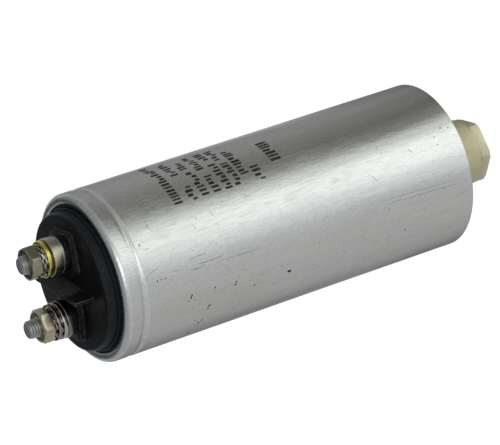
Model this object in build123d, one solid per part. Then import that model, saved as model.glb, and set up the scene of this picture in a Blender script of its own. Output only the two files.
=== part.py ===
from build123d import *
from math import atan2, cos, degrees, radians, sin, tan
import os

# Film capacitor in a round aluminium can, standing on its nylon base nut.
# Millimetres, +Z up along the can, both terminals on X, origin at the centre of the resting face.

# Can: one impact extrusion with an integral base stud, a rolled bead and a rim curled over the deck
can_d = 55.0
can_len = 131.0
can_wall = 1.0
can_base = 2.0
can_edge_r = 1.0
can_corner_r = 1.5
bead_drop = 6.6
bead_depth = 0.5
bead_width = 3.2
curl_r = 2.0
curl_sweep_deg = 128.0

# Base stud and the nylon nut on it
base_stud_d = 12.0
base_stud_recess = 3.4
base_stud_chamfer = 1.0
base_nut_d = 22.0
base_nut_len = 19.4
base_nut_hex_len = 4.1
base_nut_across_flats = 19.0
base_nut_turn_deg = 38.0
base_nut_edge = 0.8
base_nut_mouth = 0.8
base_nut_play = 0.1

# Deck: moulded lid with a flange on the bead, a raised plateau, pads, necks and a barrier wall
deck_play = 0.2
flange_t = 2.4
plateau_inset = 4.15
plateau_rise = 4.2
plateau_draft = 0.5
plateau_edge_r = 1.0
deck_plate_t = 3.5
skirt_wall = 2.5
skirt_drop = 10.0
pad_w = 12.9
pad_corner_r = 2.0
pad_flare = 0.55
pad_rise = 1.7
pad_turns_deg = (9.0, 0.0)
pad_edge_r = 0.35
neck_d = 11.6
neck_rise = 1.5
boss_d = 13.0
boss_drop = 4.0
barrier_t = 1.1
barrier_len = 30.0
barrier_rise = 6.7
barrier_edge_r = 0.3

# Gasket pinched between the flange and the curl
gasket_play = 0.1
gasket_inset = 0.5

# Terminals
terminal_spacing = 22.0
stud_d = 6.0
stud_pitch_d = 5.35
stud_rise = 13.3
stud_tip_chamfer = 0.5
stud_head_d = 11.0
stud_head_t = 2.5
stud_play = 0.1
washer_play = 0.2
collar_d = 12.2
tall_collar_h = 4.1
short_collar_h = 1.8
collar_step_d = 8.8
collar_step_h = 0.6
collar_edge = 0.3
yellow_washer_d = 11.8
yellow_washer_t = 1.35
cream_washer_d = 12.0
cream_washer_t = 1.45
copper_washer_d = 11.8
copper_washer_t = 1.1
washer_edge = 0.25
tooth_count = 10
tooth_washer_d = 10.3
tooth_ring_d = 8.4
tooth_root_lap = 0.3
tooth_w = 1.6
tooth_t = 0.5
tooth_twist_deg = 10.0
tooth_turns_deg = (0.0, 18.0, 8.0, 27.0)
nut_across_flats = 10.0
nut_h = 3.9
nut_bearing_d = 9.4
nut_blank_share = 0.62
nut_chamfer_deg = 30.0
nut_mouth = 0.4
nut_play = 0.05
nut_turns_deg = (3.0, 35.0)

# Film element and what holds it in the can
insulator_t = 3.5
insulator_play = 0.2
core_d = 9.0
core_wall = 1.5
contact_t = 0.6
sleeve_wall = 0.8
sleeve_lip = 1.5
sleeve_gap = 2.2
resin_cover = 6.0
resin_headroom = 5.3
lead_d = 2.0
lead_play = 0.15
lead_bend_r = 2.2
lead_foot = 9.0
lead_turn_rise = 3.0

# Heights, from the resting face up
can_z = base_nut_len
rim_z = can_z + can_len
bead_z = rim_z - bead_drop
curl_z = rim_z - curl_r
lip_z = curl_z + (curl_r - can_wall) * sin(radians(curl_sweep_deg))
flange_z = bead_z + bead_width / 2
flange_top_z = flange_z + flange_t
plateau_z = rim_z + plateau_rise
plate_under_z = plateau_z - deck_plate_t
neck_z = plateau_z + pad_rise + neck_rise
boss_z = rim_z - boss_drop
stud_tip_z = neck_z + stud_rise
insulator_z = can_z + can_base
lower_contact_z = insulator_z + insulator_t
winding_z = lower_contact_z + contact_t
skirt_end_z = rim_z - skirt_drop
resin_top_z = skirt_end_z - resin_headroom
element_top_z = resin_top_z - resin_cover
upper_contact_z = element_top_z - contact_t
winding_len = upper_contact_z - winding_z

# Radii and places that several pieces share
can_r = can_d / 2
bore_r = can_r - can_wall
flange_r = bore_r - deck_play
skirt_r = bore_r - bead_depth - deck_play
plateau_r = bore_r - plateau_inset
plateau_foot_r = plateau_r + plateau_draft
stud_x = terminal_spacing / 2
core_r = core_d / 2
core_bore_r = core_r - core_wall
sleeve_r = bore_r - sleeve_gap
winding_d = 2 * (sleeve_r - sleeve_wall)
tooth_h = tooth_w * sin(radians(tooth_twist_deg)) + tooth_t * cos(radians(tooth_twist_deg))

# Pieces piled on each terminal's neck
step_z = neck_z + tall_collar_h
yellow_z = step_z + collar_step_h
first_teeth_z = yellow_z + yellow_washer_t
first_nut_z = first_teeth_z + 2 * tooth_h
cream_z = neck_z + short_collar_h
second_teeth_z = cream_z + cream_washer_t
copper_z = second_teeth_z + tooth_h
second_teeth_top_z = copper_z + copper_washer_t
second_nut_z = second_teeth_top_z + tooth_h


def lathe(edges):
    """Solid of revolution about Z from edges drawn as radius and height."""
    return revolve(make_face(Plane.XZ * edges), Axis.Z)


def rod(d, z, height):
    """Upright cylinder on the can's axis."""
    return Pos(0, 0, z) * extrude(Circle(d / 2), height)


def tube(outer_d, inner_d, z, height):
    """Upright ring on the can's axis."""
    return Pos(0, 0, z) * extrude(Circle(outer_d / 2) - Circle(inner_d / 2), height)


def can():
    """Wall, base and stud in one profile: bead below the rim, lip curled inwards."""
    stud_r = base_stud_d / 2
    stud_end_z = base_stud_recess
    curl_x = can_r - curl_r
    lip_r = curl_r - can_wall
    sweep = radians(curl_sweep_deg)
    bead_low = bead_z - bead_width / 2
    bead_high = bead_z + bead_width / 2
    floor_z = can_z + can_base
    edges = Polyline(
        (0, floor_z),
        (0, stud_end_z),
        (stud_r - base_stud_chamfer, stud_end_z),
        (stud_r, stud_end_z + base_stud_chamfer),
        (stud_r, can_z),
        (can_r - can_edge_r, can_z),
    )
    edges += CenterArc((can_r - can_edge_r, can_z + can_edge_r), can_edge_r, -90, 90)
    edges += Line((can_r, can_z + can_edge_r), (can_r, bead_low))
    edges += ThreePointArc((can_r, bead_low), (can_r - bead_depth, bead_z), (can_r, bead_high))
    edges += Line((can_r, bead_high), (can_r, curl_z))
    edges += CenterArc((curl_x, curl_z), curl_r, 0, curl_sweep_deg)
    edges += Line(
        (curl_x + curl_r * cos(sweep), curl_z + curl_r * sin(sweep)),
        (curl_x + lip_r * cos(sweep), curl_z + lip_r * sin(sweep)),
    )
    edges += CenterArc((curl_x, curl_z), lip_r, 0, curl_sweep_deg)
    edges += Line((bore_r, curl_z), (bore_r, bead_high))
    edges += ThreePointArc((bore_r, bead_high), (bore_r - bead_depth, bead_z), (bore_r, bead_low))
    edges += Line((bore_r, bead_low), (bore_r, floor_z + can_corner_r))
    edges += CenterArc((bore_r - can_corner_r, floor_z + can_corner_r), can_corner_r, -90, 90)
    edges += Line((bore_r - can_corner_r, floor_z), (0, floor_z))
    return lathe(edges)


def base_nut():
    """Round nylon collar against the can with a hexagon at its free end, bored for the stud."""
    outer_r = base_nut_d / 2
    bore = base_stud_d / 2 + base_nut_play
    blank = lathe(Polyline(
        (bore + base_nut_mouth, 0),
        (outer_r - base_nut_edge, 0),
        (outer_r, base_nut_edge),
        (outer_r, base_nut_len),
        (bore, base_nut_len),
        (bore, base_nut_mouth),
        close=True,
    ))
    hexagon = RegularPolygon(base_nut_across_flats / 2, 6, major_radius=False, rotation=base_nut_turn_deg)
    flats = extrude(Circle(base_nut_d) - hexagon, base_nut_hex_len)
    return blank - flats


def deck_shell():
    """Turned form of the lid: plateau and flange above, hollow skirt below."""
    shell = lathe(Polyline(
        (0, plateau_z),
        (plateau_r, plateau_z),
        (plateau_foot_r, flange_top_z),
        (flange_r, flange_top_z),
        (flange_r, flange_z),
        (skirt_r, flange_z),
        (skirt_r, skirt_end_z),
        (skirt_r - skirt_wall, skirt_end_z),
        (skirt_r - skirt_wall, plate_under_z),
        (0, plate_under_z),
        close=True,
    ))
    brow = shell.edges().filter_by(GeomType.CIRCLE).sort_by(Axis.Z)[-1]
    return fillet(brow, plateau_edge_r)


def terminal_seat(turn_deg):
    """Square pad, neck and inner boss that carry one stud, standing on the stud's axis."""
    foot_w = pad_w + 2 * pad_flare
    foot = RectangleRounded(foot_w, foot_w, pad_corner_r + pad_flare)
    flare_deg = degrees(atan2(pad_flare, pad_rise))
    pad = Pos(0, 0, plateau_z) * Rot(0, 0, turn_deg) * extrude(foot, pad_rise, taper=flare_deg)
    pad = fillet(pad.faces().sort_by(Axis.Z)[-1].edges(), pad_edge_r)
    neck = rod(neck_d, plateau_z, pad_rise + neck_rise)
    boss = rod(boss_d, boss_z, plateau_z - boss_z)
    return pad + neck + boss


def barrier():
    """Thin wall across the plateau that keeps the two terminals apart."""
    height = deck_plate_t + barrier_rise
    wall = Pos(0, 0, plate_under_z + height / 2) * Box(barrier_t, barrier_len, height)
    above = wall.edges().filter_by(Axis.Z) + wall.faces().sort_by(Axis.Z)[-1].edges()
    return fillet(above, barrier_edge_r)


def terminal_deck():
    """Black lid in one moulding, with a clear hole for each stud."""
    lid = deck_shell() + barrier()
    hole = rod(stud_d + 2 * stud_play, boss_z, neck_z - boss_z)
    for place, turn_deg in zip((Pos(stud_x, 0, 0), Pos(-stud_x, 0, 0)), pad_turns_deg):
        lid += place * terminal_seat(turn_deg)
        lid -= place * hole
    return lid


def deck_gasket():
    """Rubber ring on the flange, pinched by the edge of the curl."""
    return tube(
        2 * (flange_r - gasket_inset),
        2 * (plateau_foot_r + gasket_play),
        flange_top_z,
        lip_z - flange_top_z,
    )


def terminal_stud(nut_z):
    """Headed stud up through the deck: free thread drawn at full size, thread in the nut at pitch size."""
    r = stud_d / 2
    pitch_r = stud_pitch_d / 2
    head_r = stud_head_d / 2
    nut_top_z = nut_z + nut_h
    return lathe(Polyline(
        (0, boss_z - stud_head_t),
        (head_r, boss_z - stud_head_t),
        (head_r, boss_z),
        (r, boss_z),
        (r, nut_z),
        (pitch_r, nut_z),
        (pitch_r, nut_top_z),
        (r, nut_top_z),
        (r, stud_tip_z - stud_tip_chamfer),
        (r - stud_tip_chamfer, stud_tip_z),
        (0, stud_tip_z),
        close=True,
    ))


def washer(d, height, z, edge):
    """Flat washer or collar round a stud, its outer edges broken."""
    ring = tube(d, stud_d + 2 * washer_play, z, height)
    outer = ring.edges().filter_by(GeomType.CIRCLE).sort_by(SortBy.RADIUS)[-2:]
    return chamfer(outer, edge)


def stepped_collar():
    """Tall collar with a narrower step on top that the washer above it sits on."""
    step = tube(collar_step_d, stud_d + 2 * washer_play, step_z, collar_step_h)
    return washer(collar_d, tall_collar_h, neck_z, collar_edge) + step


def tooth_washer(z, turn_deg):
    """External-tooth lock washer: a ring with teeth twisted out of its plane."""
    ring_r = tooth_ring_d / 2
    tip_r = tooth_washer_d / 2
    root_r = ring_r - tooth_root_lap
    ring = tube(tooth_ring_d, stud_d + 2 * washer_play, (tooth_h - tooth_t) / 2, tooth_t)
    tooth = Pos((root_r + tip_r) / 2, 0, tooth_h / 2) * Rot(tooth_twist_deg, 0, 0)
    tooth = tooth * Box(tip_r - root_r, tooth_w, tooth_t)
    for k in range(tooth_count):
        ring += Rot(0, 0, 360 * k / tooth_count) * tooth
    return Pos(0, 0, z) * Rot(0, 0, turn_deg) * ring


def hex_nut(z, turn_deg):
    """Hexagon nut, both faces chamfered to a round bearing face, mouths countersunk."""
    bore = stud_pitch_d / 2 + nut_play
    bearing_r = nut_bearing_d / 2
    blank_r = nut_across_flats * nut_blank_share
    fall = (blank_r - bearing_r) * tan(radians(nut_chamfer_deg))
    turned = lathe(Polyline(
        (bore + nut_mouth, 0),
        (bearing_r, 0),
        (blank_r, fall),
        (blank_r, nut_h - fall),
        (bearing_r, nut_h),
        (bore + nut_mouth, nut_h),
        (bore, nut_h - nut_mouth),
        (bore, nut_mouth),
        close=True,
    ))
    hexagon = RegularPolygon(nut_across_flats / 2, 6, major_radius=False, rotation=turn_deg)
    return Pos(0, 0, z) * (extrude(hexagon, nut_h) & turned)


def wire(points):
    """Round lead bent along a route, with the same bend radius at each turn."""
    route = FilletPolyline(*points, radius=lead_bend_r)
    start = Plane(origin=route @ 0, z_dir=route % 0)
    return sweep(start * Circle(lead_d / 2), path=route)


def upper_lead():
    """Wire lying on the upper contact, then rising to the first stud's head."""
    foot_z = element_top_z + lead_d / 2
    head_z = boss_z - stud_head_t
    return wire([(stud_x - lead_foot, 0, foot_z), (stud_x, 0, foot_z), (stud_x, 0, head_z)])


def lower_lead():
    """Wire under the lower contact, up through the core, then over to the second stud's head."""
    foot_z = lower_contact_z - lead_d / 2
    turn_z = element_top_z + lead_turn_rise
    head_z = boss_z - stud_head_t
    return wire([
        (lead_foot, 0, foot_z),
        (0, 0, foot_z),
        (0, 0, turn_z),
        (-stud_x, 0, turn_z),
        (-stud_x, 0, head_z),
    ])


def base_insulator():
    """Plastic disc on the can's floor, grooved on top for the lower lead."""
    disc_r = bore_r - can_corner_r - insulator_play
    groove_w = lead_d + 2 * lead_play
    groove_x = (lead_foot - lead_d / 2) / 2
    groove_len = lead_foot + lead_d / 2 + 2 * lead_play
    groove = Pos(groove_x, 0, lower_contact_z - groove_w / 2) * Box(groove_len, groove_w, groove_w)
    return rod(2 * disc_r, insulator_z, insulator_t) - groove


def resin_fill(leads):
    """Cast resin: round the sleeve, over the element and down the core, with the leads set in it."""
    block = rod(2 * bore_r, lower_contact_z, resin_top_z - lower_contact_z)
    block -= tube(2 * sleeve_r, core_d - 2 * core_wall, lower_contact_z, element_top_z - lower_contact_z)
    block -= tube(2 * sleeve_r, winding_d, element_top_z, sleeve_lip)
    for lead in leads:
        block -= lead
    return block


first = Pos(stud_x, 0, 0)
second = Pos(-stud_x, 0, 0)
leads = [upper_lead(), lower_lead()]
element_len = element_top_z - lower_contact_z

nodes = {
    "can": can(),
    "base_nut": base_nut(),
    "terminal_deck": terminal_deck(),
    "deck_gasket": deck_gasket(),
    "terminal_studs": Compound([first * terminal_stud(first_nut_z), second * terminal_stud(second_nut_z)]),
    "tall_collar": first * stepped_collar(),
    "yellow_washer": first * washer(yellow_washer_d, yellow_washer_t, yellow_z, washer_edge),
    "short_collar": second * washer(collar_d, short_collar_h, neck_z, collar_edge),
    "cream_washer": second * washer(cream_washer_d, cream_washer_t, cream_z, washer_edge),
    "copper_washer": second * washer(copper_washer_d, copper_washer_t, copper_z, washer_edge),
    "tooth_washers": Compound([
        first * tooth_washer(first_teeth_z, tooth_turns_deg[0]),
        first * tooth_washer(first_teeth_z + tooth_h, tooth_turns_deg[1]),
        second * tooth_washer(second_teeth_z, tooth_turns_deg[2]),
        second * tooth_washer(second_teeth_top_z, tooth_turns_deg[3]),
    ]),
    "terminal_nuts": Compound([
        first * hex_nut(first_nut_z, nut_turns_deg[0]),
        second * hex_nut(second_nut_z, nut_turns_deg[1]),
    ]),
    "film_winding": tube(winding_d, core_d, winding_z, winding_len),
    "winding_core": tube(core_d, core_d - 2 * core_wall, lower_contact_z, element_len),
    "lower_contact": tube(winding_d, core_d, lower_contact_z, contact_t),
    "upper_contact": tube(winding_d, core_d, upper_contact_z, contact_t),
    "upper_lead": leads[0],
    "lower_lead": leads[1],
    "winding_sleeve": tube(2 * sleeve_r, winding_d, lower_contact_z, element_len + sleeve_lip),
    "base_insulator": base_insulator(),
    "resin_fill": resin_fill(leads),
}

os.makedirs("parts", exist_ok=True)
for name, shape in nodes.items():
    export_step(shape, f"parts/{name}.step")
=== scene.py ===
import math
import random

import bmesh
import bpy
from mathutils import Matrix, Vector, noise


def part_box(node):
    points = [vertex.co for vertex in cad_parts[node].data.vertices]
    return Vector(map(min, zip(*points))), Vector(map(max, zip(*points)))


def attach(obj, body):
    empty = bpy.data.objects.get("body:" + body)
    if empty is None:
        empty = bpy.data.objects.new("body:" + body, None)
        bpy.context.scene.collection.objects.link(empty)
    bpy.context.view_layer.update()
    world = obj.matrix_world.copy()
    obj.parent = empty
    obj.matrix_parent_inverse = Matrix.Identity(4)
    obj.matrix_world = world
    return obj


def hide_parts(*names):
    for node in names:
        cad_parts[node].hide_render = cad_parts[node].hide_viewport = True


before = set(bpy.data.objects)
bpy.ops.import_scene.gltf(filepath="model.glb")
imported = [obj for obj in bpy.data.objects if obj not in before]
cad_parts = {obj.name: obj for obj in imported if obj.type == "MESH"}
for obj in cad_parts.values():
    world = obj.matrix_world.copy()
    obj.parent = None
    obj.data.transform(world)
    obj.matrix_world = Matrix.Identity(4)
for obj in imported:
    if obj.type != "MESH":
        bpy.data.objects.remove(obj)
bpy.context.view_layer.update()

scene = bpy.context.scene
scene.view_settings.view_transform = "Standard"

MM = 0.001
TAU = 2 * math.pi

# Sizes of the part in millimetres, in the CAD frame
CAN_R, CAN_WALL, CAN_EDGE_R = 27.5, 1.0, 1.0
BEAD_DROP, BEAD_DEPTH, BEAD_W = 6.6, 0.4, 3.2
CURL_R, CURL_SWEEP = 2.0, math.radians(128.0)
CAN_Z, RIM_Z = 19.4, 150.4
PLATEAU_Z, PLATEAU_R, PLATEAU_FOOT_R = 154.6, 22.35, 22.85
FLANGE_R, FLANGE_Z, FLANGE_TOP_Z = 26.3, 145.4, 147.8
SKIRT_R, SKIRT_WALL, SKIRT_END_Z = 25.8, 2.5, 140.4
STUD_X, STUD_R, STUD_TIP_Z, BOSS_Z = 11.0, 3.0, 171.1, 146.4
NECK_Z, NECK_R = 157.8, 5.8
COLLAR_FOOT = 0.85
WASHER_BORE = STUD_R + 0.2
BARRIER_RISE = 6.7
NUT_FLATS, NUT_HEIGHT = 10.0, 3.9
NUT_SEATS_Z = (165.3904, 163.6904)
INK_LIFT = 0.02

# Turns in degrees: the middle of a flat for the nuts, the sides for the pads
NUT_TURNS = (33.0, 65.0)
PAD_TURNS = (9.0, 0.0)
BASE_NUT_TURN = 8.0


def node_z(node):
    """Lowest and highest level of a CAD node, in millimetres."""
    low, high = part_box(node)
    return low[2] / MM, high[2] / MM


# Mesh helpers

def make_object(name, verts, faces, sharp_deg=32.0):
    """Mesh object from millimetre vertices, smooth but for edges sharper than the angle."""
    mesh = bpy.data.meshes.new(name)
    mesh.from_pydata([(x * MM, y * MM, z * MM) for x, y, z in verts], [], faces)
    bm = bmesh.new()
    bm.from_mesh(mesh)
    bmesh.ops.remove_doubles(bm, verts=bm.verts, dist=1e-7)
    bmesh.ops.recalc_face_normals(bm, faces=bm.faces)
    bm.to_mesh(mesh)
    bm.free()
    mesh.polygons.foreach_set("use_smooth", [True] * len(mesh.polygons))
    mesh.set_sharp_from_angle(angle=math.radians(sharp_deg))
    obj = bpy.data.objects.new(name, mesh)
    scene.collection.objects.link(obj)
    return obj


def arc(cx, cz, r, start, end, steps):
    """Points of an arc in radius and height, angles in radians."""
    angles = [start + (end - start) * k / steps for k in range(steps + 1)]
    return [(cx + r * math.cos(a), cz + r * math.sin(a)) for a in angles]


def circle(x, r, z, count):
    """Points of a level circle about an upright axis."""
    return [(x + r * math.cos(TAU * k / count), r * math.sin(TAU * k / count), z) for k in range(count)]


def eased(points, radii, steps=5):
    """Closed outline with each corner rounded to its own radius."""
    out = []
    n = len(points)
    for k in range(n):
        p, q, s = (Vector(points[(k + d) % n]) for d in (-1, 0, 1))
        r = radii[k]
        if r <= 0:
            out.append(tuple(q))
            continue
        a, b = (p - q).normalized(), (s - q).normalized()
        half = a.angle(b) / 2
        reach = min(r / math.tan(half), (p - q).length * 0.49, (s - q).length * 0.49)
        r = reach * math.tan(half)
        centre = q + (a + b).normalized() * (r / math.sin(half))
        u, v = q + a * reach - centre, q + b * reach - centre
        turn = u.angle(v)
        sign = 1 if u.x * v.y - u.y * v.x > 0 else -1
        for i in range(steps + 1):
            t = sign * turn * i / steps
            c, d = math.cos(t), math.sin(t)
            out.append((centre.x + u.x * c - u.y * d, centre.y + u.x * d + u.y * c))
    return out


def lathe_data(profile, segments, x=0.0, closed=True, shift=None):
    """Vertices and faces of a profile of radius and height turned about an upright axis."""
    verts, faces = [], []
    rows = len(profile)
    for k in range(segments):
        angle = TAU * k / segments
        c, s = math.cos(angle), math.sin(angle)
        for i, (r, z) in enumerate(profile):
            dr, dz = shift(i, angle, r, z) if shift else (0.0, 0.0)
            verts.append((x + (r + dr) * c, (r + dr) * s, z + dz))
    for k in range(segments):
        a, b = k * rows, ((k + 1) % segments) * rows
        for i in range(rows if closed else rows - 1):
            j = (i + 1) % rows
            faces.append((a + i, b + i, b + j, a + j))
    return verts, faces


def join_data(*sets):
    """One vertex and face list from several."""
    verts, faces = [], []
    for v, f in sets:
        base = len(verts)
        verts += v
        faces += [tuple(base + i for i in face) for face in f]
    return verts, faces


def dress(obj, node, material):
    """Put a piece on the single body in a node's place."""
    obj.data.materials.append(material)
    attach(obj, "root")
    if node:
        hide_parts(node)
    return obj


# Shader helpers

class Shader:
    """Thin wrapper that adds nodes to one material."""

    def __init__(self, name):
        self.mat = bpy.data.materials.new(name)
        self.mat.use_nodes = True
        self.tree = self.mat.node_tree
        self.bsdf = self.tree.nodes["Principled BSDF"]
        self.place = self.add("ShaderNodeTexCoord").outputs["Object"]

    @classmethod
    def on_world(cls, world):
        """The same helpers for a world's nodes."""
        made = cls.__new__(cls)
        made.tree = world.node_tree
        return made

    def add(self, kind, **props):
        node = self.tree.nodes.new(kind)
        for key, value in props.items():
            setattr(node, key, value)
        return node

    def link(self, a, b):
        self.tree.links.new(a, b)

    def feed(self, socket, value):
        if hasattr(value, "is_output"):
            self.link(value, socket)
        else:
            socket.default_value = value

    def math(self, operation, a, b=0.0):
        node = self.add("ShaderNodeMath", operation=operation)
        self.feed(node.inputs[0], a)
        self.feed(node.inputs[1], b)
        return node.outputs[0]

    def split(self, vector):
        """The X, Y and Z outputs of a vector."""
        node = self.add("ShaderNodeSeparateXYZ")
        self.link(vector, node.inputs[0])
        return node.outputs

    def reach(self, x, y):
        """Distance from the upright axis."""
        return self.math("SQRT", self.math("ADD", self.math("MULTIPLY", x, x), self.math("MULTIPLY", y, y)))

    def by_azimuth(self, x, y, tones):
        """Eased ramp round the upright axis, from pairs of azimuth in degrees and tone."""
        turn = self.math("ADD", self.math("DIVIDE", self.math("ARCTAN2", y, x), TAU), 0.5)
        return self.ramp(turn, [(at / 360.0 + 0.5, tone) for at, tone in tones], "EASE")

    def scaled(self, sx, sy, sz, shift=(0.0, 0.0, 0.0)):
        node = self.add("ShaderNodeMapping")
        node.inputs["Scale"].default_value = (sx, sy, sz)
        node.inputs["Location"].default_value = shift
        self.link(self.place, node.inputs["Vector"])
        return node.outputs[0]

    def noise(self, scale, detail=3.0, rough=0.55, vector=None):
        node = self.add("ShaderNodeTexNoise")
        node.inputs["Scale"].default_value = scale
        node.inputs["Detail"].default_value = detail
        node.inputs["Roughness"].default_value = rough
        self.link(vector or self.place, node.inputs["Vector"])
        return node.outputs["Fac"]

    def cells(self, scale):
        node = self.add("ShaderNodeTexVoronoi")
        node.inputs["Scale"].default_value = scale
        self.link(self.place, node.inputs["Vector"])
        return node.outputs["Distance"]

    def hairlines(self, vector, gate_scale, width):
        """Short thin lines where a stretched noise crosses its middle level."""
        level = self.noise(1.0, 1.0, 0.4, vector)
        line = self.ramp(self.math("ABSOLUTE", self.math("SUBTRACT", level, 0.5)), [(0.0, 1.0), (width, 0.0)])
        return self.math("MULTIPLY", line, self.ramp(self.noise(gate_scale, 2.0), [(0.57, 0.0), (0.63, 1.0)]))

    def ramp(self, value, stops, mode="LINEAR"):
        node = self.add("ShaderNodeValToRGB")
        node.color_ramp.interpolation = mode
        elements = node.color_ramp.elements
        while len(elements) < len(stops):
            elements.new(0.5)
        for element, (at, colour) in zip(elements, stops):
            element.position = at
            element.color = (*colour, 1.0) if hasattr(colour, "__len__") else (colour, colour, colour, 1.0)
        self.link(value, node.inputs["Fac"])
        return node.outputs["Color"]

    def span(self, value, from_low, from_high, to_low, to_high, shape="LINEAR"):
        node = self.add("ShaderNodeMapRange", interpolation_type=shape)
        for key, number in zip(("From Min", "From Max", "To Min", "To Max"), (from_low, from_high, to_low, to_high)):
            node.inputs[key].default_value = number
        self.link(value, node.inputs["Value"])
        return node.outputs[0]

    def mix(self, factor, a, b, blend="MIX"):
        node = self.add("ShaderNodeMix", data_type="RGBA", blend_type=blend)
        self.feed(node.inputs["Factor"], factor)
        self.feed(node.inputs["A"], (*a, 1.0) if isinstance(a, tuple) else a)
        self.feed(node.inputs["B"], (*b, 1.0) if isinstance(b, tuple) else b)
        return node.outputs["Result"]

    def bump(self, height, strength, distance_mm, normal=None):
        node = self.add("ShaderNodeBump")
        node.inputs["Strength"].default_value = strength
        node.inputs["Distance"].default_value = distance_mm * MM
        self.link(height, node.inputs["Height"])
        if normal is not None:
            self.link(normal, node.inputs["Normal"])
        return node.outputs["Normal"]

    def finish(self, colour=None, roughness=None, normal=None, **fixed):
        for key, value in (("Base Color", colour), ("Roughness", roughness), ("Normal", normal)):
            if value is not None:
                self.feed(self.bsdf.inputs[key], (*value, 1.0) if isinstance(value, tuple) else value)
        for key, value in fixed.items():
            self.bsdf.inputs[key.replace("_", " ").title().replace("Ior", "IOR")].default_value = value
        return self.mat


def can_metal():
    """Drawn aluminium: sandy skin, streaks along the axis, hairlines, flecks, pits, dull patches, a spun rim."""
    s = Shader("can_aluminium")
    grain = s.noise(1.0, 4.0, 0.65, s.scaled(1900, 1900, 1000))
    drawn = s.noise(1.0, 3.0, 0.6, s.scaled(800, 800, 16))
    streak = s.noise(1.0, 3.0, 0.6, s.scaled(1700, 1700, 190, (0.7, 0.2, 0.4)))
    cloud = s.noise(42.0, 4.0, 0.6)
    blotch = s.noise(1.0, 3.0, 0.6, s.scaled(110, 110, 30, (0.3, 0.1, 0.7)))
    hair = s.hairlines(s.scaled(75, 75, 15), 140.0, 0.007)
    hair = s.math("MAXIMUM", hair, s.hairlines(s.scaled(60, 110, 60), 120.0, 0.005))
    pits = s.ramp(s.cells(300.0), [(0.02, 1.0), (0.055, 0.0)])
    pits = s.math("MULTIPLY", pits, s.ramp(s.noise(85.0, 2.0), [(0.53, 0.0), (0.63, 1.0)]))
    flecks = s.ramp(s.cells(430.0), [(0.08, 1.0), (0.16, 0.0)])
    gate = s.noise(62.0, 3.0, 0.6, s.scaled(1, 1, 1, (1.3, 0.4, 2.2)))
    flecks = s.math("MULTIPLY", flecks, s.ramp(gate, [(0.50, 0.0), (0.58, 1.0)]))
    tone = s.mix(s.span(grain, 0.3, 0.7, 0.0, 1.0), (0.77, 0.78, 0.76), (0.92, 0.93, 0.905))
    tone = s.mix(s.span(drawn, 0.35, 0.7, 0.0, 0.25), tone, (0.74, 0.74, 0.72))
    tone = s.mix(s.span(blotch, 0.48, 0.75, 0.0, 0.35), tone, (0.70, 0.70, 0.64))
    tone = s.mix(s.span(streak, 0.48, 0.72, 0.0, 0.3), tone, (0.62, 0.62, 0.60))
    tone = s.mix(s.math("MULTIPLY", hair, 0.22), tone, (0.38, 0.38, 0.36))
    tone = s.mix(s.math("MULTIPLY", flecks, 0.55), tone, (0.30, 0.30, 0.26))
    tone = s.mix(s.math("MULTIPLY", pits, 0.6), tone, (0.10, 0.095, 0.085))
    axes = s.split(s.place)
    worn = s.span(axes["Z"], 0.02, 0.09, -0.15, 0.0, "SMOOTHSTEP")
    rough = s.math("ADD", s.span(cloud, 0.3, 0.7, 0.24, 0.32), s.span(grain, 0.3, 0.7, -0.03, 0.03))
    rolled = s.span(axes["Z"], 0.1415, 0.1455, 0.0, 1.0, "SMOOTHSTEP")
    rings = s.noise(1.0, 4.0, 0.6, s.scaled(70, 70, 2600))
    spun = s.math("MULTIPLY", rolled, s.span(rings, 0.3, 0.7, -1.0, 1.0))
    rough = s.math("ADD", rough, s.math("ADD", worn, s.math("MULTIPLY", spun, 0.06)))
    tone = s.mix(s.math("MAXIMUM", s.math("MULTIPLY", spun, 0.3), 0.0), tone, (0.58, 0.58, 0.53))
    rough = s.math("ADD", rough, s.math("MULTIPLY", hair, 0.08))
    rough = s.math("ADD", rough, s.span(streak, 0.3, 0.7, -0.09, 0.11))
    normal = s.bump(s.noise(1.0, 3.0, 0.6, s.scaled(620, 620, 240)), 0.5, 0.11)
    normal = s.bump(grain, 0.35, 0.02, normal)
    normal = s.bump(drawn, 0.10, 0.02, normal)
    normal = s.bump(streak, 0.3, 0.03, normal)
    normal = s.bump(spun, 0.35, 0.02, normal)
    normal = s.bump(hair, 0.25, -0.02, normal)
    normal = s.bump(pits, 0.35, -0.05, normal)
    return s.finish(tone, rough, normal, metallic=1.0, specular_tint=(0.45, 0.45, 0.45, 1.0))


def nylon():
    """Natural moulded nylon: waxy, faintly mottled, with a painted glow of light through its thin free end and painted
    shade in the step behind the hexagon.
    """
    s = Shader("nylon")
    mottle = s.noise(160.0, 4.0, 0.6)
    grain = s.noise(1800.0, 2.0, 0.5)
    tone = s.mix(s.span(mottle, 0.3, 0.7, 0.0, 1.0), (0.58, 0.52, 0.31), (0.68, 0.62, 0.40))
    axes = s.split(s.place)
    # painted glow: the tone lightens towards the free end, below 3.4 mm, for light shining through the thin nylon
    tone = s.mix(s.span(axes["Z"], 0.0, 0.0034, 0.6, 0.0), tone, (0.80, 0.77, 0.60))
    # painted shade: a patchy dark band at 3.3 to 4.3 mm, in the step behind the hexagon where a contact shadow falls
    step_shade = s.ramp(s.math("MULTIPLY", axes["Z"], 100.0), [(0.33, 0.0), (0.385, 1.0), (0.41, 1.0), (0.43, 0.0)])
    step_shade = s.math("MULTIPLY", step_shade, s.span(s.noise(420.0, 2.0), 0.4, 0.6, 0.15, 0.75))
    tone = s.mix(step_shade, tone, (0.24, 0.20, 0.09))
    rough = s.span(mottle, 0.3, 0.7, 0.36, 0.5)
    return s.finish(tone, rough, s.bump(grain, 0.12, 0.03), subsurface_weight=0.12, subsurface_scale=0.002)


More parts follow.
